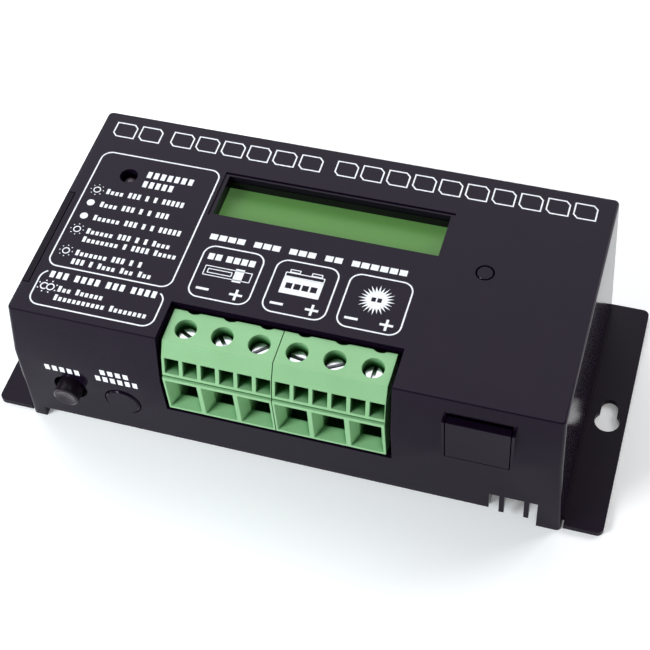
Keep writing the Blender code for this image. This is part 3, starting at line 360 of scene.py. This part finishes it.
CAD_SLOTS = {
    "top_cover": "black_plastic",
    "base_plate": "black_metal",
    "front_blank_panel": "black_plastic",
    "side_blank_panel": "black_plastic",
    "sensor_blank_plug": "black_plastic",
    "top_blank_plug": "black_plastic",
    "reset_button": "button_plastic",
    "reset_switch_stem": "chip_epoxy",
    "reset_switch_body": "chip_epoxy",
    "display_bezel": "display_frame",
    "display_glass": "display_glass",
    "display_header": "chip_epoxy",
    "display_board": "circuit_board",
    "main_board": "circuit_board",
    "status_led": "led_resin",
    "led_holder": "nylon",
    "heat_sink": "aluminium",
    "microcontroller": "chip_epoxy",
    "crystal": "steel",
    "shunt_strap": "tinned_brass",
    "voltage_regulator": "chip_epoxy",
}
CAD_FAMILIES = {
    "terminal_block": "green_plastic",
    "clamp_screw": "steel",
    "clamp_cage": "steel",
    "contact_pin": "tinned_brass",
    "cover_screw": "steel",
    "board_screw": "steel",
    "display_spacer": "nylon",
    "transistor": "chip_epoxy",
    "capacitor": "capacitor_sleeve",
}
# Rounding of the hard edges of a family of nodes; the others keep theirs.
EDGE_ROUNDING = {"terminal_block": 0.12, "base_plate": 0.15, "clamp_screw": 0.07}
# Nodes whose material isn't their slot's own.
OWN_LOOKS = {"side_blank_panel": "strip_plastic"}


def slot_of(node):
    if node in CAD_SLOTS:
        return CAD_SLOTS[node]
    return next(slot for family, slot in CAD_FAMILIES.items() if node.startswith(family))


def dress_cad_nodes(looks):
    for name, node in NODES.items():
        slot = slot_of(name)
        node.data.materials.clear()
        node.data.materials.append(looks[OWN_LOOKS.get(name, slot)])
        roundings = (size for family, size in EDGE_ROUNDING.items() if name.startswith(family))
        soften(node, next(roundings, 0.0))


# ---------------------------------------------------------------- print


def arc(centre, radius, start, end, steps=CORNER_STEPS):
    points = []
    for i in range(steps + 1):
        angle = math.radians(start + (end - start) * i / steps)
        points.append((centre[0] + radius * math.cos(angle), centre[1] + radius * math.sin(angle)))
    return points


def rounded(left, low, right, top, radius):
    corners = ((right, top, 0), (left, top, 90), (left, low, 180), (right, low, 270))
    points = []
    for x, y, start in corners:
        inward_x = -radius if x == right else radius
        inward_y = -radius if y == top else radius
        points += arc((x + inward_x, y + inward_y), radius, start, start + 90)
    return points


def ring(left, low, right, top, radius, line=LINE):
    """A rounded frame: its outer and its inner outline."""
    half = line / 2
    outer = rounded(left - half, low - half, right + half, top + half, radius + half)
    inner_radius = max(radius - half, LEAST_RADIUS)
    inner = rounded(left + half, low + half, right - half, top - half, inner_radius)
    return [outer, inner]


def bar(left, low, right, top):
    return [[(left, low), (right, low), (right, top), (left, top)]]


def disc(centre, radius, steps=DISC_STEPS):
    return [arc(centre, radius, 0, 360 - 360 / steps, steps - 1)]


def circle_line(centre, radius, line):
    return disc(centre, radius + line / 2) + disc(centre, radius - line / 2)


def plus_sign(x, y, reach=1.8, half=0.36):
    across = [(-reach, -half), (-half, -half), (-half, -reach), (half, -reach), (half, -half)]
    across += [(reach, -half), (reach, half), (half, half), (half, reach), (-half, reach)]
    across += [(-half, half), (-reach, half)]
    return [[(x + u, y + v) for u, v in across]]


def minus_sign(x, y, reach=1.8, half=0.38):
    return bar(x - reach, y - half, x + reach, y + half)


def blocks(left, low, height, words, pitch, space, fill=0.64):
    """Plain blocks in place of lettering. A word is a number of blocks, negative if they are all tall."""
    shapes = []
    x = left
    for word in words:
        for i in range(abs(word)):
            tall = word < 0 or i == 0
            top = low + height * (1.0 if tall else SMALL_BLOCK)
            shapes += bar(x, low, x + pitch * fill, top)
            x += pitch
        x += space
    return shapes


def outlined_blocks(left, right, low, top, count, gap, chamfer, line):
    """A run of hollow blocks with two corners cut off."""
    width = (right - left - gap * (count - 1)) / count
    shapes = []
    for i in range(count):
        start = left + (width + gap) * i
        for inset in (0.0, line):
            a, b = start + inset, start + width - inset
            c, d = low + inset, top - inset
            cut = chamfer - inset * CUT_SHRINK
            shapes.append([(a + cut, c), (b, c), (b, d - cut), (b - cut, d), (a, d), (a, c + cut)])
    return shapes


def sun(x, y, radius=0.95, line=0.3, rays=8, reach=1.85, dot=0.17):
    """A small ring with dots round it."""
    shapes = circle_line((x, y), radius, line)
    for i in range(rays):
        angle = 2 * math.pi * i / rays
        shapes += disc((x + reach * math.cos(angle), y + reach * math.sin(angle)), dot, DOT_STEPS)
    return shapes


def double_sun(x, y, apart=1.8, radius=1.0, line=0.34, hidden=48, reach=1.82, spread=0.88, dot=0.22):
    """Two rings, the left one partly behind the right one, with dots round the pair."""
    left, right = x - apart / 2, x + apart / 2
    shapes = circle_line((right, y), radius, line)
    open_arc = arc((left, y), radius + line / 2, hidden, 360 - hidden, OPEN_ARC_STEPS)
    open_arc += arc((left, y), radius - line / 2, 360 - hidden, hidden, OPEN_ARC_STEPS)
    shapes.append(open_arc)
    beside = reach * spread
    dots = [(left, reach), (right, reach), (left - beside, reach / 2), (right + beside, reach / 2)]
    for centre, height in dots:
        shapes += disc((centre, y + height), dot, DOT_STEPS)
        shapes += disc((centre, y - height), dot, DOT_STEPS)
    return shapes


def starburst(x, y, radius=2.7, long_ray=5.0, short_ray=4.6, rays=24):
    """A disc with thin rays, long and short in turn, as one outline."""
    outline = []
    for i in range(rays):
        for share, out in ((0.0, short_ray if i % 2 else long_ray), (0.5, radius)):
            angle = 2 * math.pi * (i + share) / rays
            outline.append((x + out * math.cos(angle), y + out * math.sin(angle)))
    return [outline]


# Rows of small blocks.
ROW_HEIGHT = 1.9
ROW_PITCH = 1.35
ROW_SPACE = 1.15
ROW_LEFT = -64.0

# The title: (left, right, blocks) for each word, the band it fills, and the shape of a block.
TITLE_WORDS = ((-70.9, -56.2, 2), (-53.2, -7.7, 6), (-3.8, 70.0, 10))
TITLE_LOW, TITLE_TOP = 28.3, 33.9
TITLE_GAP, TITLE_CUT, TITLE_LINE = 1.0, 1.3, 0.4

# The state legend: its frame (left, low, right, top, radius), the (low, blocks, pitch) of its two
# heading lines, the heights of its signs, and the (low, words) of its rows.
STATE_FRAME = (-70.4, -20.8, -34.7, 22.1, 2.9)
HEADING_LEFT = -55.0
HEADING_LINES = ((15.1, 7, 2.07), (11.5, 5, 1.93))
SIGN_X = -66.95
DOT_RADIUS = 1.12
UPPER_SUN_Y = 7.6
DOT_YS = (2.7, -2.3)
LOWER_SUN_YS = (-7.3, -15.2)
STATE_ROWS = (
    (6.7, (4, -3, -1, 1, -5)),
    (1.8, (4, -3, -1, 1, -3)),
    (-3.2, (6, -3, -1, 1, -5)),
    (-8.2, (6, -3, -1, 1, 4)),
    (-11.2, (8, -1, -4, 5)),
    (-16.1, (7, -3, -1, 1)),
    (-19.2, (-3, -1, 4, 3, 3)),
)

# The second legend, whose frame is open at the top, where its heading stands.
SECOND_FRAME = (-70.4, -34.3, -34.9, -22.6, 3.0)
OPEN_FROM_ANGLE = 60
SECOND_HEADING = {
    "left": -67.9, "low": -24.9, "height": 2.2, "words": (-3, -4, -3, -4), "pitch": 1.95, "space": 1.35
}
DOUBLE_SUN_PLACE = (-67.05, -28.0)
SECOND_LEFT = -63.8
SECOND_ROWS = ((-29.0, (3, 6)), (-31.9, (11, 8)))

# The line above the terminal frames; the (left, right) of each frame, their height, and their signs.
TERMINAL_HEADING = {
    "left": -30.0, "low": -1.95, "height": 1.9, "words": (-4, -3, -3, -2, -6), "pitch": 2.62,
    "space": 2.2, "fill": 0.82,
}
TERMINAL_SPANS = ((-29.8, -12.8), (-9.1, 8.2), (11.3, 28.4))
TERMINAL_LOW, TERMINAL_TOP, TERMINAL_RADIUS = -21.6, -4.0, 3.1
MINUS_INSET, PLUS_INSET, SIGN_Y = 3.7, 3.9, -18.7

# The slider: its heading, its two nested frames, and its knob.
SLIDER_HEADING = {
    "left": -28.2, "low": -8.7, "height": 2.1, "words": (-2, -4), "pitch": 2.15, "space": 0.9,
    "fill": 0.78,
}
SLIDER_LINE = 0.26
SLIDER_FRAMES = ((-27.7, -14.0, -14.6, -10.9), (-26.7, -13.1, -20.0, -11.8))
KNOB = (-19.3, -14.7, -16.8, -10.2)

# The battery: (left, low, right, top) of its body and of its lid and two posts, and its cells.
BATTERY_LINE = 0.28
BATTERY_BODY = (-6.05, -15.0, 4.95, -9.5)
BATTERY_TOPS = ((-5.9, -9.3, 4.8, -8.0), (-4.9, -7.75, -2.2, -6.9), (1.1, -7.75, 3.9, -6.9))
CELL_LEFTS = (-4.9, -2.6, -0.3, 2.0)
CELL_WIDTH, CELL_LOW, CELL_TOP = 1.8, -13.2, -11.3

# The ray disc, and the two blocks in it.
BURST_CENTRE = (19.9, -11.4)
BURST_BLOCKS = ((18.5, -12.1, 19.7, -10.7), (20.1, -12.1, 21.3, -10.7))

# The radius of the corners of a frame drawn with sharp corners.
SHARP = 0.1

# The words on the front: (left, low, blocks, pitch, height) of each.
FRONT_WORDS = (
    (-67.2, 25.4, 5, 2.2, 2.3),
    (-50.3, 28.5, 4, 2.25, 2.2),
    (-52.2, 25.2, 6, 2.17, 2.3),
)


def row(low, words, left=ROW_LEFT):
    return blocks(left, low, ROW_HEIGHT, words, ROW_PITCH, ROW_SPACE)


def tall_word(left, low, count, pitch, height=2.3):
    """One word of tall blocks."""
    return blocks(left, low, height, (-count,), pitch, 0.0)


def title_print():
    shapes = []
    for left, right, count in TITLE_WORDS:
        shapes += outlined_blocks(
            left, right, TITLE_LOW, TITLE_TOP, count, TITLE_GAP, TITLE_CUT, TITLE_LINE
        )
    return shapes


def state_print():
    shapes = ring(*STATE_FRAME)
    for low, count, pitch in HEADING_LINES:
        shapes += tall_word(HEADING_LEFT, low, count, pitch)
    shapes += sun(SIGN_X, UPPER_SUN_Y)
    for y in DOT_YS:
        shapes += disc((SIGN_X, y), DOT_RADIUS)
    for y in LOWER_SUN_YS:
        shapes += sun(SIGN_X, y)
    for low, words in STATE_ROWS:
        shapes += row(low, words)
    return shapes


def second_print():
    left, low, right, top, radius = SECOND_FRAME
    half = LINE / 2
    outline = []
    for grow, turn in ((half, 1), (-half, -1)):
        path = arc((right - radius, top - radius), radius + grow, OPEN_FROM_ANGLE, 0)
        path += arc((right - radius, low + radius), radius + grow, 0, -90)
        path += arc((left + radius, low + radius), radius + grow, -90, -180)
        path += arc((left + radius, top - radius), radius + grow, 180, 180 - OPEN_FROM_ANGLE)
        outline += path[::turn]
    shapes = [outline]
    shapes += blocks(**SECOND_HEADING)
    shapes += double_sun(*DOUBLE_SUN_PLACE)
    for low, words in SECOND_ROWS:
        shapes += row(low, words, SECOND_LEFT)
    return shapes


def terminal_print():
    shapes = blocks(**TERMINAL_HEADING)
    for left, right in TERMINAL_SPANS:
        shapes += ring(left, TERMINAL_LOW, right, TERMINAL_TOP, TERMINAL_RADIUS)
        shapes += minus_sign(left + MINUS_INSET, SIGN_Y)
        shapes += plus_sign(right - PLUS_INSET, SIGN_Y)
    return shapes


def slider_print():
    shapes = blocks(**SLIDER_HEADING)
    for frame_box in SLIDER_FRAMES:
        shapes += ring(*frame_box, SHARP, SLIDER_LINE)
    return shapes


def knob_print():
    return bar(*KNOB)


def battery_print():
    shapes = bar(*BATTERY_BODY)
    for left in CELL_LEFTS:
        shapes += bar(left, CELL_LOW, left + CELL_WIDTH, CELL_TOP)
    for top_box in BATTERY_TOPS:
        shapes += ring(*top_box, SHARP, BATTERY_LINE)
    return shapes


def burst_print():
    shapes = starburst(*BURST_CENTRE)
    for block in BURST_BLOCKS:
        shapes += bar(*block)
    return shapes


def front_print():
    shapes = []
    for left, low, count, pitch, height in FRONT_WORDS:
        shapes += tall_word(left, low, count, pitch, height)
    return shapes


def printed(name, shapes, look, facing="top"):
    """A thin layer of ink. Outlines inside another outline are left open."""
    curve = bpy.data.curves.new(name, "CURVE")
    curve.dimensions = "2D"
    curve.fill_mode = "BOTH"
    curve.extrude = INK_THICKNESS * MM / 2
    for shape in shapes:
        spline = curve.splines.new("POLY")
        spline.points.add(len(shape) - 1)
        for point, (u, v) in zip(spline.points, shape):
            point.co = (u * MM, v * MM, 0.0, 1.0)
        spline.use_cyclic_u = True
    guide = bpy.data.objects.new(name + "_guide", curve)
    bpy.context.scene.collection.objects.link(guide)
    bpy.context.view_layer.update()
    mesh = bpy.data.meshes.new_from_object(guide.evaluated_get(bpy.context.evaluated_depsgraph_get()))
    bpy.data.objects.remove(guide, do_unlink=True)
    mesh.name = name
    lift = INK_THICKNESS / 2 - INK_SINK
    if facing == "top":
        mesh.transform(Matrix.Translation((0.0, 0.0, (TOP_Z + lift) * MM)))
    else:
        upright = Matrix.Rotation(math.pi / 2, 4, "X")
        mesh.transform(Matrix.Translation((0.0, (FRONT_Y - lift) * MM, 0.0)) @ upright)
    mesh.materials.clear()
    mesh.materials.append(look)
    piece = bpy.data.objects.new(name, mesh)
    bpy.context.scene.collection.objects.link(piece)
    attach(piece, "case")
    return piece


def make_print(looks):
    ink = looks["ink"]
    printed("print_title", title_print(), ink)
    printed("print_state_legend", state_print(), ink)
    printed("print_second_legend", second_print(), ink)
    printed("print_terminal_legend", terminal_print(), ink)
    printed("print_slider", slider_print(), ink)
    printed("print_slider_knob", knob_print(), ink)
    printed("print_battery", battery_print(), ink)
    printed("print_sunburst", burst_print(), ink)
    printed("print_front_legend", front_print(), ink, "front")


# ---------------------------------------------------------------- studio


def make_floor():
    made, tree, shader = new_material("floor")
    cloud = noise(tree, place_vector(tree), scale=2.0, detail=2.0)
    tree.links.new(
        ramp(tree, cloud, ((0.3, (0.97, 0.97, 0.97)), (0.7, (0.98, 0.98, 0.98)))),
        shader.inputs["Base Color"],
    )
    set_inputs(shader, Roughness=0.9, Emission_Color=(1.0, 1.0, 1.0), Emission_Strength=FLOOR_GLOW)
    bm = bmesh.new()
    bmesh.ops.create_grid(bm, x_segments=1, y_segments=1, size=FLOOR_HALF_SIDE * MM)
    mesh = bpy.data.meshes.new("floor")
    bm.to_mesh(mesh)
    bm.free()
    mesh.materials.append(made)
    floor = bpy.data.objects.new("floor", mesh)
    floor.location.z = cad_bounds[0].z
    bpy.context.scene.collection.objects.link(floor)


def area_light(name, place, size, power, color):
    """A rectangular panel aimed at the middle of the object's base."""
    light = bpy.data.lights.new(name, "AREA")
    light.shape = "RECTANGLE"
    light.size, light.size_y = size[0] * MM, size[1] * MM
    light.energy = power
    light.color = color
    lamp = bpy.data.objects.new(name, light)
    lamp.location = Vector(place) * MM
    lamp.rotation_euler = (-Vector(place)).to_track_quat("-Z", "Y").to_euler()
    bpy.context.scene.collection.objects.link(lamp)


def make_world():
    """White walls that dim upwards, and a darker patch of ceiling in front of the object."""
    world = bpy.data.worlds.new("studio")
    world.use_nodes = True
    tree = world.node_tree
    direction = tree.nodes.new("ShaderNodeTexCoord").outputs["Generated"]
    both = tree.nodes.new("ShaderNodeVectorMath")
    both.operation = "MULTIPLY"
    parts = ((UP, WALL_BRIGHTNESS), (DARK_CEILING, CEILING_BRIGHTNESS))
    for (axis, stops), socket in zip(parts, both.inputs):
        towards = tree.nodes.new("ShaderNodeVectorMath")
        towards.operation = "DOT_PRODUCT"
        towards.inputs[1].default_value = axis
        tree.links.new(direction, towards.inputs[0])
        tree.links.new(ramp(tree, towards.outputs["Value"], stops), socket)
    tree.links.new(both.outputs["Vector"], tree.nodes["Background"].inputs["Color"])
    bpy.context.scene.world = world


def make_light():
    make_world()
    for name, place, size, power, color in LIGHTS:
        area_light(name, place, size, power, color)
    bpy.context.scene.view_settings.view_transform = "Standard"


def make_camera():
    data = bpy.data.cameras.new("camera")
    data.lens = CAMERA_LENS
    data.clip_start = CAMERA_NEAR * MM
    camera = bpy.data.objects.new("camera", data)
    place, aim = Vector(CAMERA_PLACE) * MM, Vector(CAMERA_AIM) * MM
    roll = Quaternion((0.0, 0.0, 1.0), CAMERA_ROLL)
    camera.rotation_mode = "QUATERNION"
    camera.rotation_quaternion = (aim - place).to_track_quat("-Z", "Y") @ roll
    camera.location = place
    bpy.context.scene.collection.objects.link(camera)
    bpy.context.scene.camera = camera


make_camera()
LOOKS = make_looks()
dress_cad_nodes(LOOKS)
make_print(LOOKS)
make_floor()
make_light()
